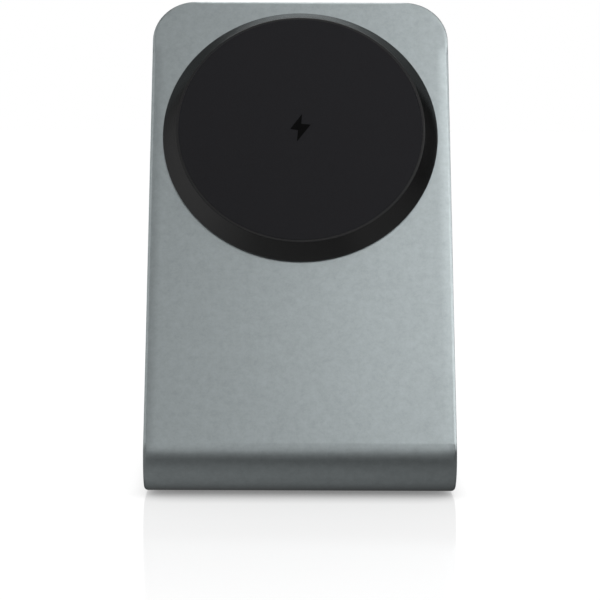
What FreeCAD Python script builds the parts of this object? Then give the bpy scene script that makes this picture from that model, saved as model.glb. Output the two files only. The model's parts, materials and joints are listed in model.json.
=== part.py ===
import FreeCAD, Part
import math
import os
import re
import Sketcher

# Phone stand bent from one aluminium plate, with a round magnetic charging pad on its leaning leaf.
# The model stands on z = 0 with its front towards -Y, centred on x = 0 and on its depth.
# Pieces of the charging head are drawn lying flat: x to the right, y up the leaning leaf and
# z out of its front face, with the origin at the pad's centre on that face.

Vector = FreeCAD.Vector

SIZES = [
    ("stand_width", 65.5, "width of the bent plate"),
    ("plate_thickness", 5.0, "thickness of the bent plate"),
    ("plate_angle", 62.0, "slope of the leaning leaf above the table, degrees"),
    ("plate_length", 104.35, "flat length of the leaning leaf, bend to top edge"),
    ("bend_radius", 7.5, "outer radius of the bend"),
    ("base_depth", 88.0, "front of the bend to the rear edge"),
    ("corner_radius", 9.7, "corners of both leaves"),
    ("edge_round", 0.8, "rounding of the plate's edges"),
    ("foot_thickness", 1.6, "rubber foot under the base"),
    ("foot_recess", 0.8, "depth of the foot's recess"),
    ("foot_margin", 6.0, "foot to the side and rear edges of the base"),
    ("foot_setback", 6.0, "foot to the end of the bend"),
    ("foot_corner", 5.0, "corner radius of the foot"),
    ("foot_round", 0.4, "rounding of the foot's lower edge"),
    ("pad_drop", 33.35, "top edge of the leaf down to the pad's centre"),
    ("pad_diameter", 60.0, "pad where it meets the plate"),
    ("pad_seat", 4.0, "width of the pad's seat on the plate, around the hole"),
    ("rim_taper", 3.0, "how far the rim leans in from base to face"),
    ("rim_land", 0.4, "straight foot of the rim"),
    ("rim_round", 0.25, "rounding of the rim's upper edge"),
    ("rim_border", 0.45, "rim's land around the face sheet"),
    ("face_thickness", 0.8, "soft face sheet"),
    ("face_proud", 0.08, "face sheet above the rim"),
    ("face_play", 0.02, "face sheet in its recess"),
    ("face_round", 0.08, "rounding of the face sheet's edge"),
    ("web_thickness", 0.7, "front wall of the pad shell"),
    ("shell_wall", 0.9, "side wall of the pad shell at its thinnest"),
    ("fit_gap", 0.1, "clearance of pieces that slide into each other"),
    ("magnet_thickness", 1.5, "ring magnets"),
    ("magnet_width", 4.0, "ring magnets, across the ring"),
    ("magnet_play", 0.2, "ring magnets to the shell"),
    ("magnet_space", 0.5, "between neighbouring magnets"),
    ("yoke_thickness", 0.4, "steel ring behind the magnets"),
    ("carrier_flange", 0.6, "carrier's flange on the plate"),
    ("carrier_depth", 1.4, "carrier's spigot in the hole"),
    ("rib_thickness", 0.8, "rib between magnets and coil"),
    ("coil_thickness", 1.2, "charging coil"),
    ("coil_width", 10.0, "charging coil, across its turns"),
    ("coil_gap", 0.1, "coil to the shell's front wall"),
    ("turn_groove", 0.3, "grooves between the coil's turns"),
    ("ferrite_thickness", 0.8, "ferrite disc behind the coil"),
    ("ferrite_slot", 2.4, "slot in the ferrite for the coil's leads"),
    ("lead_space", 1.5, "room for the outer lead beside the coil"),
    ("lead_diameter", 1.1, "leads of the coil"),
    ("lead_gap", 0.2, "leads in their holes"),
    ("board_drop", 1.4, "plate's back to the circuit board"),
    ("board_thickness", 1.0, "circuit board"),
    ("board_gap", 1.0, "circuit board to the cover's wall"),
    ("board_trim", 0.8, "depth of the flat on the board's lower edge"),
    ("chip_side", 5.0, "controller chip"),
    ("chip_height", 0.9, "controller chip"),
    ("switch_side", 3.3, "bridge switches"),
    ("switch_height", 0.8, "bridge switches"),
    ("switch_pitch", 4.6, "spacing of the bridge switches"),
    ("inductor_side", 6.0, "input inductor"),
    ("inductor_height", 3.0, "input inductor"),
    ("capacitor_length", 3.2, "tuning capacitors"),
    ("capacitor_width", 2.5, "tuning capacitors"),
    ("capacitor_height", 2.0, "tuning capacitors"),
    ("capacitor_pitch", 3.4, "spacing of the tuning capacitors"),
    ("socket_width", 8.94, "outside width of the socket's shell"),
    ("socket_height", 3.16, "outside height of the socket's shell"),
    ("socket_length", 7.35, "length of the socket's shell"),
    ("socket_wall", 0.3, "sheet of the socket's shell"),
    ("socket_gap", 0.34, "socket to the floor of the cover"),
    ("mouth_recess", 0.6, "socket's mouth in from the cover's side"),
    ("tongue_width", 6.69, "contact tongue"),
    ("tongue_thickness", 0.7, "contact tongue"),
    ("tongue_setback", 0.9, "contact tongue behind the mouth"),
    ("insert_length", 2.0, "solid rear of the contact tongue"),
    ("port_gap", 0.25, "cover's port around the socket"),
    ("rear_seat", 2.0, "width of the cover's seat around the hole"),
    ("cover_wall", 1.4, "side wall of the rear cover"),
    ("cover_floor", 1.2, "floor of the rear cover"),
    ("cover_draft", 0.6, "how far the cover's side leans in"),
    ("cover_round", 1.5, "rounding of the cover's outer edge"),
    ("boss_inset", 6.5, "screw centres in from the hole's wall"),
    ("boss_diameter", 4.4, "screw bosses of the carrier"),
    ("post_diameter", 6.0, "screw posts of the cover"),
    ("screw_diameter", 2.0, "shank of the cover screws"),
    ("screw_length", 8.0, "shank of the cover screws"),
    ("screw_bite", 0.05, "screw in its boss"),
    ("screw_play", 0.2, "screw in the post and the board"),
    ("pilot_spare", 0.5, "pilot hole beyond the screw's tip"),
    ("head_diameter", 3.8, "heads of the cover screws"),
    ("head_height", 1.2, "heads of the cover screws"),
    ("head_sink", 1.4, "depth of the heads' counterbores"),
    ("head_play", 0.15, "heads in their counterbores"),
    ("key_width", 1.3, "hexagon socket, across flats"),
    ("key_depth", 0.7, "hexagon socket"),
]
MAGNET_COUNT = 16
COIL_TURNS = 9
SCREW_ANGLES = (45, 135, 225, 315)
CUT_PAST = "1"
CLOSE = 1e-6

ALIASES = {alias for alias, value, meaning in SIZES}

doc = FreeCAD.newDocument("charging_stand")
sheet = doc.addObject("Spreadsheet::Sheet", "Sizes")
for row, (alias, value, meaning) in enumerate(SIZES, start=1):
    sheet.set(f"A{row}", meaning)
    sheet.set(f"B{row}", str(value))
    sheet.setAlias(f"B{row}", alias)
doc.recompute()

# Levels and radii of the charging head, worked out from the sizes
PAD_RADIUS = "(pad_diameter / 2)"
HOLE_RADIUS = f"({PAD_RADIUS} - pad_seat)"
MAGNET_BACK = "(carrier_flange + yoke_thickness)"
WEB_BACK = f"({MAGNET_BACK} + magnet_thickness)"
WEB_FRONT = f"({WEB_BACK} + web_thickness)"
PAD_HEIGHT = f"({WEB_FRONT} + face_thickness)"
RIM_TOP = f"({PAD_HEIGHT} - face_proud)"
RIM_SLOPE = f"(rim_taper / ({RIM_TOP} - rim_land))"
RIM_INNER = f"({PAD_RADIUS} - rim_taper - rim_border)"
CAVITY_RADIUS = f"({PAD_RADIUS} - {RIM_SLOPE} * ({WEB_BACK} - rim_land) - shell_wall)"
MAGNET_OUTER = f"({CAVITY_RADIUS} - magnet_play)"
MAGNET_INNER = f"({MAGNET_OUTER} - magnet_width)"
RIB_OUTER = f"({MAGNET_INNER} - fit_gap)"
POCKET_RADIUS = f"({RIB_OUTER} - rib_thickness)"
COIL_FRONT = f"({WEB_BACK} - coil_gap)"
COIL_BACK = f"({COIL_FRONT} - coil_thickness)"
POCKET_FLOOR = f"({COIL_BACK} - ferrite_thickness)"
COIL_OUTER = f"({POCKET_RADIUS} - lead_space)"
COIL_INNER = f"({COIL_OUTER} - coil_width)"
LEAD_PLACES = (f"({COIL_INNER} - lead_diameter / 2)", f"({COIL_OUTER} + lead_diameter / 2)")
BOARD_FRONT = "(-plate_thickness - board_drop)"
BOARD_BACK = f"({BOARD_FRONT} - board_thickness)"
COVER_RADIUS = f"({HOLE_RADIUS} + rear_seat)"
FLOOR_INSIDE = f"({BOARD_BACK} - socket_height - socket_gap)"
FLOOR_OUTSIDE = f"({FLOOR_INSIDE} - cover_floor)"
BOARD_RADIUS = f"({COVER_RADIUS} - cover_wall - board_gap)"
SOCKET_LEVEL = f"({BOARD_BACK} - socket_height / 2)"
MOUTH = f"({COVER_RADIUS} - mouth_recess)"
BOSS_CIRCLE = f"({HOLE_RADIUS} - boss_inset)"
HEAD_SEAT = f"({FLOOR_OUTSIDE} + head_sink)"

# Places on the bent plate, in the stand's own frame
BASE_LEVEL = "(foot_thickness - foot_recess)"
BEND_CENTRE = "(bend_radius - base_depth / 2)"
PAD_RISE = "(plate_length - pad_drop)"
HEAD_PLACE = (
    "placement(vector(0;"
    f" {BEND_CENTRE} - bend_radius * sin(plate_angle) + {PAD_RISE} * cos(plate_angle);"
    f" {BASE_LEVEL} + bend_radius + bend_radius * cos(plate_angle) + {PAD_RISE} * sin(plate_angle));"
    " rotationx(plate_angle))"
)


# Drawing helpers

def formula(text):
    """Give each size named in a formula its place in the sheet."""
    return re.sub(r"[a-z_]+", lambda word: f"Sizes.{word[0]}" if word[0] in ALIASES else word[0], text)


def bind(item, prop, text):
    item.setExpression(prop, formula(text))


def new_body(name):
    body = doc.addObject("PartDesign::Body", name)
    body.Label = name
    body.AllowCompound = True
    return body


def head_body(name, turn="0"):
    """A body of the charging head, turned about the pad's own axis."""
    body = new_body(name)
    bind(body, "Placement", f"{HEAD_PLACE} * placement(vector(0; 0; 0); rotationz({turn}))")
    return body


def new_sketch(body, name, role, level="0"):
    """A sketch on one of the body's origin planes, moved along that plane's normal."""
    sketch = body.newObject("Sketcher::SketchObject", f"{body.Name}_{name}")
    plane = next(item for item in body.Origin.OriginFeatures if item.Role == role)
    sketch.AttachmentSupport = [(plane, "")]
    sketch.MapMode = "FlatFace"
    bind(sketch, "AttachmentOffset.Base.z", level)
    return sketch


def pin(sketch, geometry, point, x, y):
    """Hold one point of a sketch at the place that two formulas give."""
    start = sketch.getPoint(geometry, point)
    for axis, value, text in (("X", start.x, x), ("Y", start.y, y)):
        number = sketch.addConstraint(Sketcher.Constraint("Distance" + axis, -1, 1, geometry, point, value))
        name = f"{axis}{geometry}_{point}"
        sketch.renameConstraint(number, name)
        bind(sketch, f"Constraints.{name}", text)


def hold_radius(sketch, geometry, radius):
    number = sketch.addConstraint(Sketcher.Constraint("Radius", geometry, 1))
    name = f"radius_{geometry}"
    sketch.renameConstraint(number, name)
    bind(sketch, f"Constraints.{name}", radius)


def polygon(sketch, corners):
    """A closed outline of straight lines through the corners."""
    first = sketch.GeometryCount
    count = len(corners)
    rough = [Vector(math.cos(math.tau * k / count), math.sin(math.tau * k / count), 0) for k in range(count)]
    for k in range(count):
        sketch.addGeometry(Part.LineSegment(rough[k], rough[(k + 1) % count]), False)
    for k in range(count):
        sketch.addConstraint(Sketcher.Constraint("Coincident", first + k, 2, first + (k + 1) % count, 1))
    for k, (x, y) in enumerate(corners):
        pin(sketch, first + k, 1, x, y)


def rectangle(sketch, left, low, right, high):
    polygon(sketch, [(left, low), (right, low), (right, high), (left, high)])


def circle(sketch, x, y, radius):
    number = sketch.addGeometry(Part.Circle(Vector(0, 0, 0), Vector(0, 0, 1), 1), False)
    pin(sketch, number, 3, x, y)
    hold_radius(sketch, number, radius)


def flat_oval(sketch, y, width, height):
    """Two straight sides joined by half circles, centred on the sketch's y axis."""
    reach = f"(({width}) - ({height})) / 2"
    arcs = []
    for side, x in ((1, reach), (-1, f"-({reach})")):
        end = Part.Circle(Vector(2 * side, 0, 0), Vector(0, 0, 1), 1)
        quarter = side * math.pi / 2
        arc = sketch.addGeometry(Part.ArcOfCircle(end, -quarter, math.pi - quarter), False)
        pin(sketch, arc, 3, x, y)
        hold_radius(sketch, arc, f"({height}) / 2")
        for point in (1, 2):
            sketch.addConstraint(Sketcher.Constraint("Vertical", arc, point, arc, 3))
        arcs.append(arc)
    for arc, following in (arcs, reversed(arcs)):
        line = sketch.addGeometry(
            Part.LineSegment(sketch.getPoint(arc, 2), sketch.getPoint(following, 1)), False)
        sketch.addConstraint(Sketcher.Constraint("Coincident", arc, 2, line, 1))
        sketch.addConstraint(Sketcher.Constraint("Coincident", line, 2, following, 1))


# Feature helpers

def pad(sketch, length, back=False, symmetric=False):
    """Raise a sketch into a solid, against its normal if it goes back."""
    body = sketch.getParentGeoFeatureGroup()
    feature = body.newObject("PartDesign::Pad", f"{sketch.Name}_pad")
    feature.Profile = sketch
    feature.Reversed = back
    feature.SideType = "Symmetric" if symmetric else "One side"
    bind(feature, "Length", length)
    doc.recompute()
    return feature


def pocket(sketch, depth, along=False):
    """Cut a sketch into the body, along its normal or against it, and see that something was cut."""
    body = sketch.getParentGeoFeatureGroup()
    before = body.Shape.Volume
    feature = body.newObject("PartDesign::Pocket", f"{sketch.Name}_pocket")
    feature.Profile = sketch
    feature.Reversed = along
    bind(feature, "Length", depth)
    doc.recompute()
    if not body.Shape.Volume < before:
        raise RuntimeError(f"{feature.Name} cuts nothing")
    return feature


def revolve(sketch, angle="360"):
    """Turn a sketch about the pad's axis, half of the angle to each side."""
    body = sketch.getParentGeoFeatureGroup()
    feature = body.newObject("PartDesign::Revolution", f"{sketch.Name}_turn")
    feature.Profile = sketch
    feature.ReferenceAxis = (sketch, ["V_Axis"])
    feature.Midplane = True
    bind(feature, "Angle", angle)
    doc.recompute()
    return feature


def round_edges(feature, name, radius, wanted):
    """Round the edges of a feature that pass a test."""
    body = feature.getParentGeoFeatureGroup()
    edges = [f"Edge{k}" for k, edge in enumerate(feature.Shape.Edges, start=1) if wanted(edge)]
    result = body.newObject("PartDesign::Fillet", f"{body.Name}_{name}")
    result.Base = (feature, edges)
    bind(result, "Radius", radius)
    doc.recompute()
    return result


def is_circle_at(edge, level, radius):
    curve = edge.Curve
    return (isinstance(curve, Part.Circle)
            and abs(curve.Center.z - level) < CLOSE
            and abs(curve.Radius - radius) < CLOSE)


def widest_circle(feature, top):
    """Level and radius of the widest circle at the top or the bottom of a turned shape."""
    circles = [edge.Curve for edge in feature.Shape.Edges if isinstance(edge.Curve, Part.Circle)]
    levels = [curve.Center.z for curve in circles]
    level = max(levels) if top else min(levels)
    return level, max(curve.Radius for curve in circles if abs(curve.Center.z - level) < CLOSE)


def at_screws(radius):
    """Places on a circle at each screw."""
    return [(f"{radius} * cos({angle})", f"{radius} * sin({angle})") for angle in SCREW_ANGLES]


def screw_circles(body, name, level, radius):
    sketch = new_sketch(body, name, "XY_Plane", level)
    for x, y in at_screws(BOSS_CIRCLE):
        circle(sketch, x, y, radius)
    return sketch


def turned_piece(name, corners, angle="360", turn="0"):
    """A piece of the head turned from a half section, given as radius and level."""
    body = head_body(name, turn)
    section = new_sketch(body, "section", "XZ_Plane")
    polygon(section, corners)
    return body, revolve(section, angle)


# Pieces of the stand

def make_stand_body():
    """The bent plate: sharp profile first, then its bend, corners, edges, hole and recess."""
    body = new_body("stand_body")
    profile = new_sketch(body, "profile", "YZ_Plane")
    outer_run = "(bend_radius / tan(plate_angle / 2))"
    inner_run = "((bend_radius - plate_thickness) / tan(plate_angle / 2))"
    front_y = f"({BEND_CENTRE} - {outer_run} + ({outer_run} + plate_length) * cos(plate_angle))"
    front_z = f"({BASE_LEVEL} + ({outer_run} + plate_length) * sin(plate_angle))"
    polygon(profile, [
        (f"{BEND_CENTRE} - {outer_run}", BASE_LEVEL),
        (front_y, front_z),
        (f"{front_y} + plate_thickness * sin(plate_angle)",
         f"{front_z} - plate_thickness * cos(plate_angle)"),
        (f"{BEND_CENTRE} - {inner_run}", f"{BASE_LEVEL} + plate_thickness"),
        ("base_depth / 2", f"{BASE_LEVEL} + plate_thickness"),
        ("base_depth / 2", BASE_LEVEL),
    ])
    strip = pad(profile, "stand_width", symmetric=True)

    across = sorted((edge for edge in strip.Shape.Edges if edge.BoundBox.YLength < CLOSE),
                    key=lambda edge: edge.CenterOfMass.y)
    outer_corner, inner_corner = across[0].CenterOfMass, across[1].CenterOfMass
    bend = round_edges(strip, "outer_bend", "bend_radius",
                       lambda edge: edge.CenterOfMass.isEqual(outer_corner, CLOSE))
    bend = round_edges(bend, "inner_bend", "bend_radius - plate_thickness",
                       lambda edge: edge.CenterOfMass.isEqual(inner_corner, CLOSE))

    def through_plate(edge):
        return (isinstance(edge.Curve, Part.Line)
                and abs(edge.Length - sheet.plate_thickness) < CLOSE
                and edge.BoundBox.XLength < CLOSE)

    corners = round_edges(bend, "corners", "corner_radius", through_plate)

    def is_rim(face):
        return any(through_plate(edge) for edge in face.Edges)

    def bounds_rim(edge):
        faces = corners.Shape.ancestorsOfType(edge, Part.Face)
        return sum(is_rim(face) for face in faces) == 1

    round_edges(corners, "edges", "edge_round", bounds_rim)

    hole = new_sketch(body, "hole", "XY_Plane")
    hole.setExpression("AttachmentOffset.Base.z", None)
    bind(hole, "AttachmentOffset", HEAD_PLACE)
    circle(hole, "0", "0", HOLE_RADIUS)
    pocket(hole, f"plate_thickness + {CUT_PAST}")
    recess = new_sketch(body, "recess", "XY_Plane", BASE_LEVEL)
    foot_outline(recess, "0")
    pocket(recess, "foot_recess", along=True)


def foot_outline(sketch, gap):
    """Rounded rectangle of the rubber foot on the underside of the base, drawn in by a gap."""
    side = f"(stand_width / 2 - foot_margin - {gap})"
    front = f"({BEND_CENTRE} + foot_setback + {gap})"
    rear = f"(base_depth / 2 - foot_margin - {gap})"
    radius = f"(foot_corner - {gap})"
    sides = [
        (side, f"{front} + {radius}", side, f"{rear} - {radius}"),
        (f"{side} - {radius}", rear, f"-({side} - {radius})", rear),
        (f"-{side}", f"{rear} - {radius}", f"-{side}", f"{front} + {radius}"),
        (f"-({side} - {radius})", front, f"{side} - {radius}", front),
    ]
    rough = [(3, -2, 3, 2), (2, 3, -2, 3), (-3, 2, -3, -2), (-2, -3, 2, -3)]
    corner_centres = [(2, 2), (-2, 2), (-2, -2), (2, -2)]
    lines = [sketch.addGeometry(Part.LineSegment(Vector(*ends[:2], 0), Vector(*ends[2:], 0)), False)
             for ends in rough]
    for k, (line, ends) in enumerate(zip(lines, sides)):
        pin(sketch, line, 1, *ends[:2])
        pin(sketch, line, 2, *ends[2:])
        turn = math.pi / 2 * k
        corner = Part.Circle(Vector(*corner_centres[k], 0), Vector(0, 0, 1), 1)
        arc = sketch.addGeometry(Part.ArcOfCircle(corner, turn, turn + math.pi / 2), False)
        sketch.addConstraint(Sketcher.Constraint("Tangent", line, 2, arc, 1))
        sketch.addConstraint(Sketcher.Constraint("Coincident", arc, 2, lines[(k + 1) % 4], 1))


def make_base_foot():
    body = new_body("base_foot")
    outline = new_sketch(body, "outline", "XY_Plane")
    foot_outline(outline, "fit_gap")
    sheet_pad = pad(outline, "foot_thickness")
    round_edges(sheet_pad, "edge", "foot_round", lambda edge: edge.BoundBox.ZMax < CLOSE)


# Pieces of the charging pad

def make_pad_shell():
    """Moulded shell with a tapered rim, a recess for the face sheet in front and open to the plate."""
    body, shell = turned_piece("pad_shell", [
        (PAD_RADIUS, "0"), (PAD_RADIUS, "rim_land"), (f"{PAD_RADIUS} - rim_taper", RIM_TOP),
        (RIM_INNER, RIM_TOP), (RIM_INNER, WEB_FRONT), ("0", WEB_FRONT),
        ("0", WEB_BACK), (CAVITY_RADIUS, WEB_BACK), (CAVITY_RADIUS, "0"),
    ])
    level, radius = widest_circle(shell, top=True)
    round_edges(shell, "edge", "rim_round", lambda edge: is_circle_at(edge, level, radius))


def make_pad_face():
    """Soft sheet that carries the phone, laid in the shell's recess and a little proud of its rim."""
    side = f"({RIM_INNER} - face_play)"
    body, disc = turned_piece("pad_face", [
        ("0", WEB_FRONT), (side, WEB_FRONT), (side, PAD_HEIGHT), ("0", PAD_HEIGHT),
    ])
    level, radius = widest_circle(disc, top=True)
    round_edges(disc, "edge", "face_round", lambda edge: is_circle_at(edge, level, radius))


def make_magnets():
    span = f"(360 / {MAGNET_COUNT} - magnet_space / {MAGNET_INNER} * 180 / pi)"
    for k in range(MAGNET_COUNT):
        turned_piece(f"ring_magnet_{k + 1:02d}", [
            (MAGNET_INNER, MAGNET_BACK), (MAGNET_OUTER, MAGNET_BACK),
            (MAGNET_OUTER, WEB_BACK), (MAGNET_INNER, WEB_BACK),
        ], angle=span, turn=f"360 / {MAGNET_COUNT} * ({k} + 0.5)")


def make_magnet_yoke():
    turned_piece("magnet_yoke", [
        (MAGNET_INNER, "carrier_flange"), (MAGNET_OUTER, "carrier_flange"),
        (MAGNET_OUTER, MAGNET_BACK), (MAGNET_INNER, MAGNET_BACK),
    ])


def make_coil_carrier():
    """Frame trapped in front of the plate: seats the magnets and the coil, and takes the cover's screws."""
    spigot = f"({HOLE_RADIUS} - fit_gap)"
    flange = f"({CAVITY_RADIUS} - fit_gap)"
    body, disc = turned_piece("coil_carrier", [
        ("0", "-carrier_depth"), (spigot, "-carrier_depth"), (spigot, "0"), (flange, "0"),
        (flange, "carrier_flange"), (RIB_OUTER, "carrier_flange"), (RIB_OUTER, WEB_BACK),
        (POCKET_RADIUS, WEB_BACK), (POCKET_RADIUS, POCKET_FLOOR), ("0", POCKET_FLOOR),
    ])
    bosses = screw_circles(body, "bosses", "-carrier_depth", "boss_diameter / 2")
    pad(bosses, f"-carrier_depth - {BOARD_FRONT}", back=True)
    pilots = screw_circles(body, "pilots", BOARD_FRONT, "screw_diameter / 2 + screw_bite")
    pocket(pilots, f"{HEAD_SEAT} + screw_length + pilot_spare - {BOARD_FRONT}", along=True)
    holes = new_sketch(body, "lead_holes", "XY_Plane", POCKET_FLOOR)
    for place in LEAD_PLACES:
        circle(holes, place, "0", "lead_diameter / 2 + lead_gap")
    pocket(holes, f"{POCKET_FLOOR} + carrier_depth + {CUT_PAST}")


def make_ferrite_shield():
    body, disc = turned_piece("ferrite_shield", [
        ("0", POCKET_FLOOR), (f"{POCKET_RADIUS} - fit_gap", POCKET_FLOOR),
        (f"{POCKET_RADIUS} - fit_gap", COIL_BACK), ("0", COIL_BACK),
    ])
    slot = new_sketch(body, "slot", "XY_Plane", COIL_BACK)
    rectangle(slot, f"{COIL_INNER} - ferrite_slot", "-ferrite_slot / 2",
              f"{POCKET_RADIUS} + {CUT_PAST}", "ferrite_slot / 2")
    pocket(slot, f"ferrite_thickness + {CUT_PAST}")


def make_charging_coil():
    """Flat winding, its turns marked by grooves."""
    corners = [(COIL_INNER, COIL_BACK), (COIL_OUTER, COIL_BACK), (COIL_OUTER, COIL_FRONT)]
    for turn in range(COIL_TURNS - 1, 0, -1):
        middle = f"({COIL_INNER} + coil_width * {turn} / {COIL_TURNS})"
        corners += [
            (f"{middle} + turn_groove / 2", COIL_FRONT),
            (middle, f"{COIL_FRONT} - turn_groove"),
            (f"{middle} - turn_groove / 2", COIL_FRONT),
        ]
    corners.append((COIL_INNER, COIL_FRONT))
    turned_piece("charging_coil", corners)


def make_coil_leads():
    """The winding's two ends, straight through the carrier to the circuit board."""
    body = head_body("coil_leads")
    ends = new_sketch(body, "ends", "XY_Plane", BOARD_FRONT)
    for place in LEAD_PLACES:
        circle(ends, place, "0", "lead_diameter / 2")
    pad(ends, f"{COIL_FRONT} - {BOARD_FRONT}")


# Circuit board and what it carries

def make_circuit_board():
    body = head_body("circuit_board")
    outline = new_sketch(body, "outline", "XY_Plane", BOARD_FRONT)
    circle(outline, "0", "0", BOARD_RADIUS)
    pad(outline, "board_thickness", back=True)
    trim = new_sketch(body, "trim", "XY_Plane", BOARD_FRONT)
    reach = f"({BOARD_RADIUS} + {CUT_PAST})"
    rectangle(trim, f"-{reach}", f"-{reach}", reach, f"board_trim - {BOARD_RADIUS}")
    pocket(trim, "board_thickness")
    holes = screw_circles(body, "holes", BOARD_FRONT, "screw_diameter / 2 + screw_play")
    pocket(holes, "board_thickness")


def make_board_parts(name, centres, length, width, height):
    """Like parts soldered to the front of the board, at the centres that formulas give."""
    body = head_body(name)
    outline = new_sketch(body, "outline", "XY_Plane", BOARD_FRONT)
    for x, y in centres:
        rectangle(outline, f"{x} - {length} / 2", f"{y} - {width} / 2",
                  f"{x} + {length} / 2", f"{y} + {width} / 2")
    pad(outline, height)


def make_electronics():
    inner_lead, outer_lead = LEAD_PLACES
    make_circuit_board()
    make_board_parts("controller_chip", [("-chip_side", "chip_side * 1.5")],
                     "chip_side", "chip_side", "chip_height")
    make_board_parts("input_inductor", [("-inductor_side * 1.5", "-inductor_side")],
                     "inductor_side", "inductor_side", "inductor_height")
    make_board_parts("bridge_switches", [
        (f"switch_pitch * {column}", f"-switch_pitch * {row}") for row in (1, 2) for column in (0, 1)
    ], "switch_side", "switch_side", "switch_height")
    between_leads = f"({inner_lead} + {outer_lead}) / 2"
    make_board_parts("tuning_capacitors", [
        (between_leads, f"capacitor_pitch * {step}") for step in (-1.5, -0.5, 0.5, 1.5)
    ], "capacitor_width", "capacitor_length", "capacitor_height")


def make_socket_shell():
    """Drawn steel shell of the charging inlet, its mouth facing down the leaf."""
    body = head_body("socket_shell")
    mouth = new_sketch(body, "mouth", "XZ_Plane", MOUTH)
    flat_oval(mouth, SOCKET_LEVEL, "socket_width", "socket_height")
    flat_oval(mouth, SOCKET_LEVEL, "socket_width - 2 * socket_wall", "socket_height - 2 * socket_wall")
    pad(mouth, "socket_length", back=True)


def make_socket_tongue():
    """Contact tongue with the solid insert that closes the shell behind it."""
    body = head_body("socket_tongue")
    insert = new_sketch(body, "insert", "XZ_Plane", f"{MOUTH} - socket_length")
    flat_oval(insert, SOCKET_LEVEL, "socket_width - 2 * socket_wall", "socket_height - 2 * socket_wall")
    pad(insert, "insert_length")
    tongue = new_sketch(body, "tongue", "XZ_Plane", f"{MOUTH} - socket_length")
    rectangle(tongue, "-tongue_width / 2", f"{SOCKET_LEVEL} - tongue_thickness / 2",
              "tongue_width / 2", f"{SOCKET_LEVEL} + tongue_thickness / 2")
    pad(tongue, "socket_length - tongue_setback")


# Rear cover and its screws

def make_rear_cover():
    """Moulded cap behind the plate, with screw posts and a port for the charging plug."""
    body, cap = turned_piece("rear_cover", [
        ("0", FLOOR_OUTSIDE), (f"{COVER_RADIUS} - cover_draft", FLOOR_OUTSIDE),
        (COVER_RADIUS, "-plate_thickness"), (f"{COVER_RADIUS} - cover_wall", "-plate_thickness"),
        (f"{COVER_RADIUS} - cover_wall - cover_draft", FLOOR_INSIDE), ("0", FLOOR_INSIDE),
    ])
    level, radius = widest_circle(cap, top=False)
    round_edges(cap, "edge", "cover_round", lambda edge: is_circle_at(edge, level, radius))
    posts = screw_circles(body, "posts", FLOOR_INSIDE, "post_diameter / 2")
    pad(posts, f"{BOARD_BACK} - {FLOOR_INSIDE}")
    holes = screw_circles(body, "holes", BOARD_BACK, "screw_diameter / 2 + screw_play")
    pocket(holes, f"{BOARD_BACK} - {FLOOR_OUTSIDE} + {CUT_PAST}")
    sinks = screw_circles(body, "sinks", FLOOR_OUTSIDE, "head_diameter / 2 + head_play")
    pocket(sinks, "head_sink", along=True)
    port = new_sketch(body, "port", "XZ_Plane")
    flat_oval(port, SOCKET_LEVEL, "socket_width + 2 * port_gap", "socket_height + 2 * port_gap")
    pocket(port, f"{COVER_RADIUS} + {CUT_PAST}", along=True)


def make_cover_screws():
    body = head_body("cover_screws")
    heads = screw_circles(body, "heads", HEAD_SEAT, "head_diameter / 2")
    pad(heads, "head_height", back=True)
    shanks = screw_circles(body, "shanks", HEAD_SEAT, "screw_diameter / 2")
    pad(shanks, "screw_length")
    keys = new_sketch(body, "keys", "XY_Plane", f"{HEAD_SEAT} - head_height")
    point = "key_width / 2 / cos(30)"
    for x, y in at_screws(BOSS_CIRCLE):
        polygon(keys, [(f"{x} + {point} * cos({turn})", f"{y} + {point} * sin({turn})")
                       for turn in range(0, 360, 60)])
    pocket(keys, "key_depth", along=True)


make_stand_body()
make_base_foot()
make_pad_shell()
make_pad_face()
make_magnets()
make_magnet_yoke()
make_coil_carrier()
make_ferrite_shield()
make_charging_coil()
make_coil_leads()
make_electronics()
make_socket_shell()
make_socket_tongue()
make_rear_cover()
make_cover_screws()
doc.recompute()

for item in doc.Objects:
    if "Invalid" in item.State or "Error" in item.State:
        raise RuntimeError(f"{item.Label} did not build: {item.State}")
pieces = [item for item in doc.Objects if item.TypeId == "PartDesign::Body"]
for piece in pieces:
    if piece.Shape.isNull() or not piece.Shape.isValid():
        raise RuntimeError(f"{piece.Label} has no valid shape")
os.makedirs("parts", exist_ok=True)
for piece in pieces:
    piece.Shape.exportStep(f"parts/{piece.Label}.step")
    print(piece.Label, len(piece.Shape.Solids), round(piece.Shape.Volume, 2))
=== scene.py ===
import json
import math

import bpy
from mathutils import Matrix, Vector


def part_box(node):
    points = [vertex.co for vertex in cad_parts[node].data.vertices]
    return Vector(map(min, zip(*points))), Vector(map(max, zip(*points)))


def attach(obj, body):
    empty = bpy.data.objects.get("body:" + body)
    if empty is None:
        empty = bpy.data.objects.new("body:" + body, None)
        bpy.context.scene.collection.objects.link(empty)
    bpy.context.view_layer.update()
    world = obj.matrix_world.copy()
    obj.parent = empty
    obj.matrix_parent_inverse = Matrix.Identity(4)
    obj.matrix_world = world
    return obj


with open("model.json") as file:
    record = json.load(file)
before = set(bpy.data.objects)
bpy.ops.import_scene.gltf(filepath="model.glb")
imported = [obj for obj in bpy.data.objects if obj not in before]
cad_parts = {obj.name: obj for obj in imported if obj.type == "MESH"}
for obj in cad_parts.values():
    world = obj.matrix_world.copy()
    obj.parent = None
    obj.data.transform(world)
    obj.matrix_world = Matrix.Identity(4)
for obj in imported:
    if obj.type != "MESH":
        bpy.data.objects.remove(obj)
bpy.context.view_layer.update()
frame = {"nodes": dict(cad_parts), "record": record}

node = frame["nodes"]
scene = bpy.context.scene
scene.view_settings.view_transform = "Standard"

# Lengths are in metres; one that is thought of in millimetres is written times MM
MM = 0.001
WHITE = (1.0, 1.0, 1.0, 1.0)

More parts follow.
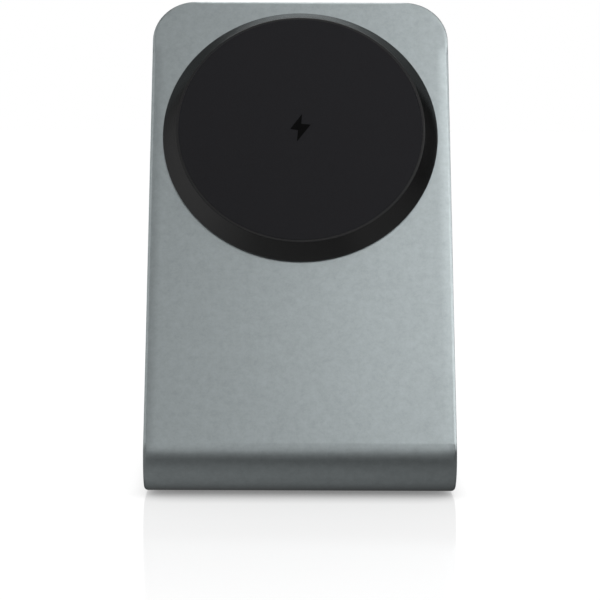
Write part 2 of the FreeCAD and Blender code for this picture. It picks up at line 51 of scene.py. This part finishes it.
# Plate, from the frame: half its width, the rear of its base and the top of its leaf
half_width, base_rear, leaf_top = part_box("stand_body")[1]

# Pad's face, from the frame: its middle, and the directions of the leaf that it leans with
phone_face = next(mount for mount in frame["record"]["mounts"] if mount["name"] == "phone_face")
face_middle = Vector(phone_face["pos_m"])
leaf_across = Vector((1.0, 0.0, 0.0))
leaf_out = Vector(phone_face["axis"]).normalized()
leaf_up = leaf_out.cross(leaf_across)
leaf_turn = Matrix((leaf_across, leaf_up, leaf_out)).transposed().to_4x4()
face_place = Matrix.Translation(face_middle) @ leaf_turn


# Shader building

def shader(name):
    material = bpy.data.materials.new(name)
    material.use_nodes = True
    tree = material.node_tree
    surface = tree.nodes["Principled BSDF"]
    where = tree.nodes.new("ShaderNodeTexCoord")
    return material, tree, surface, where.outputs["Object"]


def join(tree, values, sockets):
    """Each value on its socket: a number or vector as it is, another node's output as a link."""
    for value, socket in zip(values, sockets):
        if isinstance(value, bpy.types.NodeSocket):
            tree.links.new(value, socket)
        else:
            socket.default_value = value


def noise(tree, place, size_mm, detail=2.0, roughness=0.5):
    texture = tree.nodes.new("ShaderNodeTexNoise")
    texture.inputs["Scale"].default_value = 1.0 / (size_mm * MM)
    texture.inputs["Detail"].default_value = detail
    texture.inputs["Roughness"].default_value = roughness
    tree.links.new(place, texture.inputs["Vector"])
    return texture.outputs["Fac"]


def ramp(tree, factor, stops):
    colours = tree.nodes.new("ShaderNodeValToRGB")
    band = colours.color_ramp
    while len(band.elements) < len(stops):
        band.elements.new(0.5)
    for element, (position, colour) in zip(band.elements, stops):
        element.position = position
        element.color = (*colour, 1.0)
    tree.links.new(factor, colours.inputs["Fac"])
    return colours.outputs["Color"]


def grey_ramp(tree, factor, stops):
    return ramp(tree, factor, [(position, (grey, grey, grey)) for position, grey in stops])


def span(tree, factor, low, high, start=0.0, end=1.0):
    """From low to high while the factor goes from start to end, and level outside."""
    remap = tree.nodes.new("ShaderNodeMapRange")
    remap.inputs["From Min"].default_value = start
    remap.inputs["From Max"].default_value = end
    remap.inputs["To Min"].default_value = low
    remap.inputs["To Max"].default_value = high
    tree.links.new(factor, remap.inputs["Value"])
    return remap.outputs["Result"]


def bump(tree, surface, height, depth_mm, strength):
    relief = tree.nodes.new("ShaderNodeBump")
    relief.inputs["Strength"].default_value = strength
    relief.inputs["Distance"].default_value = depth_mm * MM
    tree.links.new(height, relief.inputs["Height"])
    tree.links.new(relief.outputs["Normal"], surface.inputs["Normal"])
    return relief


def sums(tree, operation, first, second=0.0):
    """One step of arithmetic."""
    step = tree.nodes.new("ShaderNodeMath")
    step.operation = operation
    join(tree, (first, second), step.inputs)
    return step.outputs["Value"]


def vectors(tree, operation, *values):
    """One step of vector arithmetic, with all its outputs."""
    step = tree.nodes.new("ShaderNodeVectorMath")
    step.operation = operation
    join(tree, values, step.inputs)
    return step.outputs


def scaled(tree, vector, factor):
    step = tree.nodes.new("ShaderNodeVectorMath")
    step.operation = "SCALE"
    join(tree, (vector, factor), (step.inputs["Vector"], step.inputs["Scale"]))
    return step.outputs["Vector"]


def split(tree, vector):
    axes = tree.nodes.new("ShaderNodeSeparateXYZ")
    tree.links.new(vector, axes.inputs["Vector"])
    return axes.outputs["X"], axes.outputs["Y"], axes.outputs["Z"]


def mix_vectors(tree, share, first, second):
    """The first vector where the share is 0, the second where it is 1."""
    blend = tree.nodes.new("ShaderNodeMix")
    blend.data_type = "VECTOR"
    sockets = {socket.identifier: socket for socket in (*blend.inputs, *blend.outputs)}
    join(tree, (share, first, second), (sockets["Factor_Float"], sockets["A_Vector"], sockets["B_Vector"]))
    return sockets["Result_Vector"]


def mix_shaders(tree, share, first, second):
    """The first shader where the share is 0, the second where it is 1."""
    blend = tree.nodes.new("ShaderNodeMixShader")
    join(tree, (share, first, second), blend.inputs)
    return blend.outputs["Shader"]


def dress(piece, material):
    piece.data.materials.clear()
    piece.data.materials.append(material)


# Worn edges of the plate, as slopes of its shading; each zone is where a slope or share begins and is full

side_lean = 0.12
side_lean_zone = (half_width - 2.75 * MM, half_width - 0.85 * MM)
broken_edge_lean = 0.34
broken_edge_zone = (half_width - 0.70 * MM, half_width - 0.45 * MM)
upper_corner_zone = (leaf_top - 11.67 * MM, leaf_top - 9.17 * MM)
rear_corner_zone = (base_rear - 12.5 * MM, base_rear - 10.0 * MM)
corner_side_zone = (half_width - 10.25 * MM, half_width - 7.75 * MM)
corner_push = 1.5
facing_aside_zone = (0.85, 0.95)
facing_front_zone = (0.20, 0.40)


def leaning_sides(tree, place_x, aside, facing):
    """The face leans outwards a little towards its side edges, and more on the broken edge itself."""
    facing_x, facing_y, facing_z = split(tree, facing)
    lean = sums(tree, "ADD", span(tree, aside, 0.0, side_lean, *side_lean_zone),
                span(tree, aside, 0.0, broken_edge_lean, *broken_edge_zone))
    outwards = sums(tree, "MULTIPLY", sums(tree, "SIGN", place_x), lean)
    squared = sums(tree, "MULTIPLY", facing_x, facing_x)
    along = sums(tree, "SQRT", sums(tree, "SUBTRACT", 1.0, squared))
    leaning = tree.nodes.new("ShaderNodeCombineXYZ")
    join(tree, (sums(tree, "MULTIPLY", outwards, along), facing_y, facing_z), leaning.inputs)
    return leaning.outputs["Vector"]


def fronted_corners(tree, aside, upper, facing):
    """The edge of the leaf's two upper corners leans back to the front."""
    on_corner = sums(tree, "MULTIPLY", upper, span(tree, aside, 0.0, corner_push, *corner_side_zone))
    facing_front = vectors(tree, "DOT_PRODUCT", facing, leaf_out)["Value"]
    amount = sums(tree, "MULTIPLY", on_corner, span(tree, facing_front, 0.0, 1.0, *facing_front_zone))
    pushed = vectors(tree, "ADD", facing, scaled(tree, leaf_out, amount))["Vector"]
    return vectors(tree, "NORMALIZE", pushed)["Vector"]


def soften_edges(tree, place, relief):
    """The plate's faces lean at their sides; its side walls and rounded corners keep their own facing."""
    facing = tree.nodes.new("ShaderNodeNewGeometry").outputs["Normal"]
    place_x, place_y, place_z = split(tree, place)
    aside = sums(tree, "ABSOLUTE", place_x)
    facing_aside = sums(tree, "ABSOLUTE", split(tree, facing)[0])
    upper = span(tree, place_z, 0.0, 1.0, *upper_corner_zone)
    rear = span(tree, place_y, 0.0, 1.0, *rear_corner_zone)
    wall = span(tree, facing_aside, 0.0, 1.0, *facing_aside_zone)
    kept = sums(tree, "MAXIMUM", wall, sums(tree, "MAXIMUM", upper, rear))
    leaning = leaning_sides(tree, place_x, aside, facing)
    fronted = fronted_corners(tree, aside, upper, facing)
    softened = vectors(tree, "NORMALIZE", mix_vectors(tree, kept, leaning, fronted))["Vector"]
    tree.links.new(softened, relief.inputs["Normal"])


# Finishes of the pieces in sight

def blasted_anodised_aluminium():
    material, tree, surface, place = shader("blasted_anodised_aluminium")
    grain = noise(tree, place, size_mm=0.32, detail=3.0, roughness=0.65)
    tint = ramp(tree, grain, [(0.32, (0.354, 0.394, 0.403)), (0.68, (0.366, 0.405, 0.414))])
    patches = noise(tree, place, size_mm=1.7, detail=3.5, roughness=0.80)
    mottle = span(tree, patches, 0.917, 1.083, start=0.3, end=0.7)
    tree.links.new(scaled(tree, tint, mottle), surface.inputs["Base Color"])
    cloud = noise(tree, place, size_mm=9.0)
    tree.links.new(span(tree, cloud, 0.345, 0.375), surface.inputs["Roughness"])
    surface.inputs["Metallic"].default_value = 1.0
    pits = noise(tree, place, size_mm=0.22)
    relief = bump(tree, surface, pits, depth_mm=0.02, strength=0.10)
    soften_edges(tree, place, relief)
    return material


# Narrow land of the shell round the face, as heights over the face
land_zone = (-0.22 * MM, -0.16 * MM)


def satin_moulded_plastic():
    """The pad's shell: a sheen on its rim, matt and paler on the land."""
    material, tree, surface, place = shader("satin_moulded_plastic")
    grain = noise(tree, place, size_mm=0.25)
    tint = ramp(tree, grain, [(0.3, (0.0035, 0.0035, 0.0036)), (0.7, (0.0050, 0.0050, 0.0051))])
    along_out = vectors(tree, "DOT_PRODUCT", place, leaf_out)["Value"]
    over_face = sums(tree, "SUBTRACT", along_out, face_middle.dot(leaf_out))
    land = span(tree, over_face, 0.0, 1.0, *land_zone)
    tree.links.new(scaled(tree, tint, span(tree, land, 1.0, 4.2)), surface.inputs["Base Color"])
    sheen = span(tree, noise(tree, place, size_mm=4.0), 0.22, 0.27)
    matting = span(tree, land, 0.0, 0.12)
    tree.links.new(sums(tree, "ADD", sheen, matting), surface.inputs["Roughness"])
    tree.links.new(span(tree, land, 0.75, 0.20), surface.inputs["Specular IOR Level"])
    bump(tree, surface, grain, depth_mm=0.006, strength=0.10)
    return material


def soft_touch_face():
    material, tree, surface, place = shader("soft_touch_face")
    grain = noise(tree, place, size_mm=0.20)
    tint = ramp(tree, grain, [(0.3, (0.0156, 0.0155, 0.0177)), (0.7, (0.0190, 0.0189, 0.0215))])
    tree.links.new(tint, surface.inputs["Base Color"])
    cloud = noise(tree, place, size_mm=6.0)
    tree.links.new(span(tree, cloud, 0.56, 0.62), surface.inputs["Roughness"])
    surface.inputs["Specular IOR Level"].default_value = 0.08
    bump(tree, surface, grain, depth_mm=0.008, strength=0.12)
    return material


def foot_rubber():
    material, tree, surface, place = shader("foot_rubber")
    grain = noise(tree, place, size_mm=0.4, detail=3.0)
    tint = ramp(tree, grain, [(0.3, (0.022, 0.022, 0.023)), (0.7, (0.030, 0.030, 0.031))])
    tree.links.new(tint, surface.inputs["Base Color"])
    tree.links.new(span(tree, grain, 0.72, 0.84), surface.inputs["Roughness"])
    bump(tree, surface, grain, depth_mm=0.03, strength=0.25)
    return material


# Finishes that differ only in colour, roughness and size of grain

def grained_metal(name, dark, light, rough, size_mm, metallic=1.0):
    material, tree, surface, place = shader(name)
    grain = noise(tree, place, size_mm, detail=3.0)
    tint = ramp(tree, grain, [(0.3, dark), (0.7, light)])
    tree.links.new(tint, surface.inputs["Base Color"])
    tree.links.new(span(tree, grain, rough - 0.05, rough + 0.05), surface.inputs["Roughness"])
    surface.inputs["Metallic"].default_value = metallic
    bump(tree, surface, grain, depth_mm=0.01, strength=0.1)
    return material


def grained_solid(name, dark, light, rough, size_mm):
    return grained_metal(name, dark, light, rough, size_mm, metallic=0.0)


def sign_print():
    material = grained_solid("sign_ink", (0.0021, 0.0021, 0.0022), (0.0031, 0.0031, 0.0032), 0.65, 0.15)
    surface = material.node_tree.nodes["Principled BSDF"]
    surface.inputs["Specular IOR Level"].default_value = 0.04
    return material


aluminium = blasted_anodised_aluminium()
plastic = satin_moulded_plastic()
face_finish = soft_touch_face()
rubber = foot_rubber()
cover_plastic = grained_solid("cover_moulded_plastic", (0.010, 0.010, 0.0105), (0.014, 0.014, 0.0145),
                              0.42, 0.3)
carrier_plastic = grained_solid("carrier_plastic", (0.09, 0.09, 0.095), (0.12, 0.12, 0.125), 0.5, 0.4)
nickel = grained_metal("magnet_nickel", (0.50, 0.47, 0.42), (0.58, 0.55, 0.50), 0.28, 0.5)
steel = grained_metal("stamped_steel", (0.48, 0.48, 0.48), (0.58, 0.58, 0.58), 0.3, 0.4)
black_steel = grained_metal("blackened_steel", (0.030, 0.030, 0.032), (0.045, 0.045, 0.047), 0.38, 0.2)
copper = grained_metal("enamelled_copper", (0.62, 0.26, 0.12), (0.75, 0.34, 0.17), 0.32, 0.3)
ferrite = grained_solid("ferrite", (0.020, 0.020, 0.022), (0.032, 0.032, 0.034), 0.55, 0.3)
board = grained_solid("board_mask", (0.010, 0.060, 0.028), (0.016, 0.085, 0.040), 0.35, 0.6)
chip = grained_solid("chip_epoxy", (0.012, 0.012, 0.013), (0.020, 0.020, 0.021), 0.6, 0.15)
ceramic = grained_solid("capacitor_ceramic", (0.26, 0.19, 0.12), (0.34, 0.26, 0.17), 0.45, 0.2)

finish_of = {
    "stand_body": aluminium, "base_foot": rubber, "pad_shell": plastic, "pad_face": face_finish,
    "magnet_yoke": steel, "coil_carrier": carrier_plastic, "ferrite_shield": ferrite,
    "charging_coil": copper, "coil_leads": copper, "circuit_board": board, "controller_chip": chip,
    "input_inductor": ferrite, "bridge_switches": chip, "tuning_capacitors": ceramic,
    "socket_shell": steel, "socket_tongue": carrier_plastic, "rear_cover": cover_plastic,
    "cover_screws": black_steel,
}
for name, piece in node.items():
    if name.startswith("ring_magnet"):
        dress(piece, nickel)
    else:
        dress(piece, finish_of[name])


# Charging sign printed on the face: a bolt, its corners in millimetres from the face's middle

bolt_corners = [(0.35, 3.35), (-2.25, -0.30), (-0.55, -0.60), (-0.80, -3.35), (2.20, 0.75), (0.15, 0.95)]
ink_height = 0.03 * MM

bpy.ops.object.select_all(action="DESELECT")
bpy.ops.mesh.primitive_circle_add(vertices=len(bolt_corners), fill_type="NGON")
bolt = bpy.context.object
bolt.name = "charging_sign"
for vertex, (across, up) in zip(bolt.data.vertices, bolt_corners):
    vertex.co = (across * MM, up * MM, 0.0)
bpy.ops.object.mode_set(mode="EDIT")
bpy.ops.mesh.select_all(action="SELECT")
bpy.ops.mesh.normals_make_consistent(inside=False)
bpy.ops.mesh.extrude_region_move(TRANSFORM_OT_translate={"value": (0.0, 0.0, ink_height)})
bpy.ops.mesh.select_all(action="SELECT")
bpy.ops.mesh.normals_make_consistent(inside=False)
bpy.ops.object.mode_set(mode="OBJECT")
bolt.data.transform(face_place)
dress(bolt, sign_print())
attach(bolt, "root")


# Floor: pale, white to the camera, with the stand's contact shadow and a soft shade near it painted into
# its glow, and a weak mirror of its front

contact_reach = 10.5 * MM
painted_shade_zone = (150.0 * MM, 250.0 * MM)
polish_zone = (45.0 * MM, 160.0 * MM)
polish_end_zone = (145.0 * MM, 190.0 * MM)
polish_side_zone = (half_width + 2.25 * MM, half_width + 15.25 * MM)
polish_depth_zone = (-20.0 * MM, 30.0 * MM)
before_zone = (-200.0 * MM, 0.0)
far_before_zone = (-400.0 * MM, -200.0 * MM)
beside_zone = (-200.0 * MM, 500.0 * MM)
near_zone = (half_width + 12.25 * MM, half_width + 42.25 * MM)
left_to_right_zone = (-35.0 * MM, 35.0 * MM)
heading_back_zone = (0.55, 0.90)


def diffuse(tree, grey):
    matt = tree.nodes.new("ShaderNodeBsdfDiffuse")
    matt.inputs["Color"].default_value = (grey, grey, grey, 1.0)
    return matt.outputs["BSDF"]


def emission(tree, strength):
    glow = tree.nodes.new("ShaderNodeEmission")
    tree.links.new(strength, glow.inputs["Strength"])
    return glow.outputs["Emission"]


def open_floor(tree):
    """Painted contact shadow: share of the floor that is in the open, low where the stand touches it,
    which darkens the floor's glow.
    """
    contact = tree.nodes.new("ShaderNodeAmbientOcclusion")
    contact.inputs["Distance"].default_value = contact_reach
    return span(tree, sums(tree, "POWER", contact.outputs["AO"], 0.6), 0.27, 1.0, start=0.0, end=0.88)


def shown_floor(tree, aside, depth, distance, in_the_open):
    """What the camera sees: white ground with the painted contact shadow and a painted soft shade near the
    stand, and a weak polish before the stand that mirrors its front.
    """
    # Painted shade: the ground glows a little darker within 150 mm of the stand's middle, full white from
    # 250 mm
    ground_white_with_painted_shade = span(tree, distance, 0.94, 1.0, *painted_shade_zone)
    white = emission(tree, sums(tree, "MULTIPLY", in_the_open, ground_white_with_painted_shade))
    ground = tree.nodes.new("ShaderNodeAddShader")
    join(tree, (diffuse(tree, 0.14), white), ground.inputs)
    gloss = tree.nodes.new("ShaderNodeBsdfGlossy")
    gloss.inputs["Color"].default_value = WHITE
    gloss.inputs["Roughness"].default_value = 0.08
    polish = sums(tree, "MULTIPLY", span(tree, distance, 0.20, 0.050, *polish_zone),
                  span(tree, distance, 1.0, 0.0, *polish_end_zone))
    before_stand = sums(tree, "MULTIPLY", span(tree, aside, 1.0, 0.0, *polish_side_zone),
                        span(tree, depth, 1.0, 0.0, *polish_depth_zone))
    share = sums(tree, "MULTIPLY", polish, before_stand)
    return mix_shaders(tree, share, ground.outputs["Shader"], gloss.outputs["BSDF"])


def mirrored_floor(tree, across, aside, depth, distance, in_the_open):
    """Painted light and shade that the pieces mirror of the floor, as a glow: white behind, in shade
    before and beside, paler far before, a little brighter at the left.
    """
    before = grey_ramp(tree, span(tree, depth, 0.0, 1.0, *before_zone), [
        (0.0, 0.05), (0.50, 0.08), (0.62, 0.16), (0.71, 0.24), (0.77, 0.30), (0.79, 0.28), (0.81, 0.10)])
    beside = grey_ramp(tree, span(tree, across, 0.0, 1.0, *beside_zone), [
        (0.06, 0.40), (0.19, 0.28), (0.39, 0.23), (0.53, 0.19), (1.0, 0.10)])
    far_before = span(tree, depth, 0.42, 0.0, *far_before_zone)
    near_share = span(tree, aside, 1.0, 0.0, *near_zone)
    left_tilt = span(tree, across, 1.12, 0.88, *left_to_right_zone)
    near_shade = sums(tree, "MULTIPLY", sums(tree, "MULTIPLY", near_share, left_tilt), before)
    side_shade = sums(tree, "MULTIPLY", beside, sums(tree, "SUBTRACT", 1.0, near_share))
    shade = sums(tree, "MAXIMUM", sums(tree, "ADD", near_shade, side_shade), far_before)
    heading_back = sums(tree, "DIVIDE", depth, distance)
    behind = sums(tree, "MULTIPLY", span(tree, heading_back, 0.0, 1.0, *heading_back_zone), in_the_open)
    return emission(tree, sums(tree, "MAXIMUM", shade, behind))


def pale_floor():
    material = bpy.data.materials.new("pale_floor")
    material.use_nodes = True
    tree = material.node_tree
    tree.nodes.clear()
    place = tree.nodes.new("ShaderNodeTexCoord").outputs["Object"]
    across, depth, _ = split(tree, place)
    aside = sums(tree, "ABSOLUTE", across)
    distance = vectors(tree, "LENGTH", place)["Value"]
    in_the_open = open_floor(tree)
    ray = tree.nodes.new("ShaderNodeLightPath").outputs
    bounced = sums(tree, "MAXIMUM", ray["Is Glossy Ray"], ray["Is Transmission Ray"])
    mirrored = mirrored_floor(tree, across, aside, depth, distance, in_the_open)
    # Diffuse light sees a matt floor; what the pieces mirror is the painted glow
    unseen = mix_shaders(tree, bounced, diffuse(tree, 0.60), mirrored)
    shown = shown_floor(tree, aside, depth, distance, in_the_open)
    out = tree.nodes.new("ShaderNodeOutputMaterial")
    tree.links.new(mix_shaders(tree, ray["Is Camera Ray"], unseen, shown), out.inputs["Surface"])
    return material


bpy.ops.object.select_all(action="DESELECT")
bpy.ops.mesh.primitive_plane_add(size=4.0, location=(0.0, 0.0, 0.0))
floor = bpy.context.object
floor.name = "floor"
dress(floor, pale_floor())


# Studio: white to the camera; the pieces mirror a white backdrop behind and a weak glow at left and front

def wall_glow(tree, direction, towards, power, level):
    """A wall's soft glow, brightest in this direction."""
    facing = vectors(tree, "DOT_PRODUCT", direction, Vector(towards).normalized())["Value"]
    lobe = sums(tree, "POWER", sums(tree, "MAXIMUM", facing, 0.0), power)
    return sums(tree, "MULTIPLY", lobe, level)


def backdrop_glow(tree, direction):
    """White behind the stand, up to a height that falls towards the sides."""
    _, back, up = split(tree, direction)
    low_back = sums(tree, "SUBTRACT", back, sums(tree, "MULTIPLY", up, 1.2))
    return span(tree, low_back, 0.0, 1.0, start=0.25, end=0.45)


def background(tree, strength):
    colour = tree.nodes.new("ShaderNodeBackground")
    join(tree, (WHITE, strength), (colour.inputs["Color"], colour.inputs["Strength"]))
    return colour.outputs["Background"]


def studio():
    world = bpy.data.worlds.new("studio")
    world.use_nodes = True
    tree = world.node_tree
    tree.nodes.clear()
    direction = tree.nodes.new("ShaderNodeTexCoord").outputs["Generated"]
    left_glow = wall_glow(tree, direction, (-0.97, -0.10, 0.20), power=4.0, level=0.37)
    front_glow = wall_glow(tree, direction, (-0.25, -1.0, 0.0), power=2.0, level=0.225)
    glow = sums(tree, "ADD", sums(tree, "ADD", backdrop_glow(tree, direction), left_glow), front_glow)
    to_camera = tree.nodes.new("ShaderNodeLightPath").outputs["Is Camera Ray"]
    seen = mix_shaders(tree, to_camera, background(tree, glow), background(tree, 1.0))
    out = tree.nodes.new("ShaderNodeOutputWorld")
    tree.links.new(seen, out.inputs["Surface"])
    return world


scene.world = studio()


# Lamps: soft boxes on all sides of the stand but its rear corners, aimed at the leaf from one distance

lamp_aim = Vector((0.0, -10.0, 60.0)) * MM
lamp_distance = 360.0 * MM


def soft_box(name, azimuth, elevation, width, height, level):
    """A soft box; azimuth is in degrees to the right of the front, level is its brightness."""
    turn = math.radians(azimuth)
    rise = math.radians(elevation)
    towards = Vector((math.sin(turn) * math.cos(rise), -math.cos(turn) * math.cos(rise), math.sin(rise)))
    lamp = bpy.data.lights.new(name, "AREA")
    lamp.shape = "RECTANGLE"
    lamp.size = width
    lamp.size_y = height
    lamp.energy = math.pi * width * height * level
    holder = bpy.data.objects.new(name, lamp)
    scene.collection.objects.link(holder)
    holder.location = lamp_aim + lamp_distance * towards
    holder.rotation_euler = (-towards).to_track_quat("-Z", "Y").to_euler()
    holder.visible_camera = False


soft_box("key_box_high", azimuth=22.0, elevation=60.0, width=0.11, height=0.11, level=0.60)
soft_box("key_box_middle", azimuth=14.0, elevation=44.0, width=0.11, height=0.11, level=1.60)
soft_box("key_box_low", azimuth=14.0, elevation=28.0, width=0.11, height=0.11, level=1.12)
soft_box("side_box", azimuth=40.0, elevation=50.0, width=0.11, height=0.24, level=1.85)
soft_box("edge_box", azimuth=60.0, elevation=34.0, width=0.12, height=0.24, level=2.76)
soft_box("far_edge_box", azimuth=84.0, elevation=26.0, width=0.12, height=0.12, level=1.72)
soft_box("low_edge_box", azimuth=75.0, elevation=16.0, width=0.12, height=0.12, level=0.86)
soft_box("fill_box", azimuth=-14.0, elevation=44.0, width=0.11, height=0.32, level=0.455)
soft_box("low_fill_box", azimuth=-14.0, elevation=28.0, width=0.11, height=0.11, level=0.42)
soft_box("far_fill_box", azimuth=-40.0, elevation=44.0, width=0.11, height=0.32, level=0.22)
soft_box("left_edge_box", azimuth=-65.0, elevation=38.0, width=0.12, height=0.30, level=0.95)
soft_box("low_strip", azimuth=-3.0, elevation=13.0, width=0.24, height=0.06, level=0.77)
soft_box("overhead_box", azimuth=180.0, elevation=82.0, width=0.12, height=0.34, level=1.65)
soft_box("low_rear_box", azimuth=180.0, elevation=24.0, width=0.34, height=0.14, level=1.30)
soft_box("rear_box", azimuth=180.0, elevation=56.0, width=0.34, height=0.14, level=2.50)


# Camera at the photograph's angle

eye = Vector((-4.49, -593.32, 97.24)) * MM
pitch = math.radians(-5.753)
yaw = math.radians(0.449)
roll = math.radians(0.277)
focal_length_px = 2668.2
image_width_px = 600.0
sensor_width_mm = 36.0

ahead = Vector((math.sin(yaw) * math.cos(pitch), math.cos(yaw) * math.cos(pitch), math.sin(pitch)))
level_right = ahead.cross(Vector((0.0, 0.0, 1.0))).normalized()
level_above = level_right.cross(ahead)
right = level_right * math.cos(roll) + level_above * math.sin(roll)
above = level_above * math.cos(roll) - level_right * math.sin(roll)
lens = bpy.data.cameras.new("camera")
lens.sensor_width = sensor_width_mm
lens.lens = focal_length_px / image_width_px * sensor_width_mm
lens.clip_start = 0.01
camera = bpy.data.objects.new("camera", lens)
scene.collection.objects.link(camera)
camera.matrix_world = Matrix.Translation(eye) @ Matrix((right, above, -ahead)).transposed().to_4x4()
scene.camera = camera
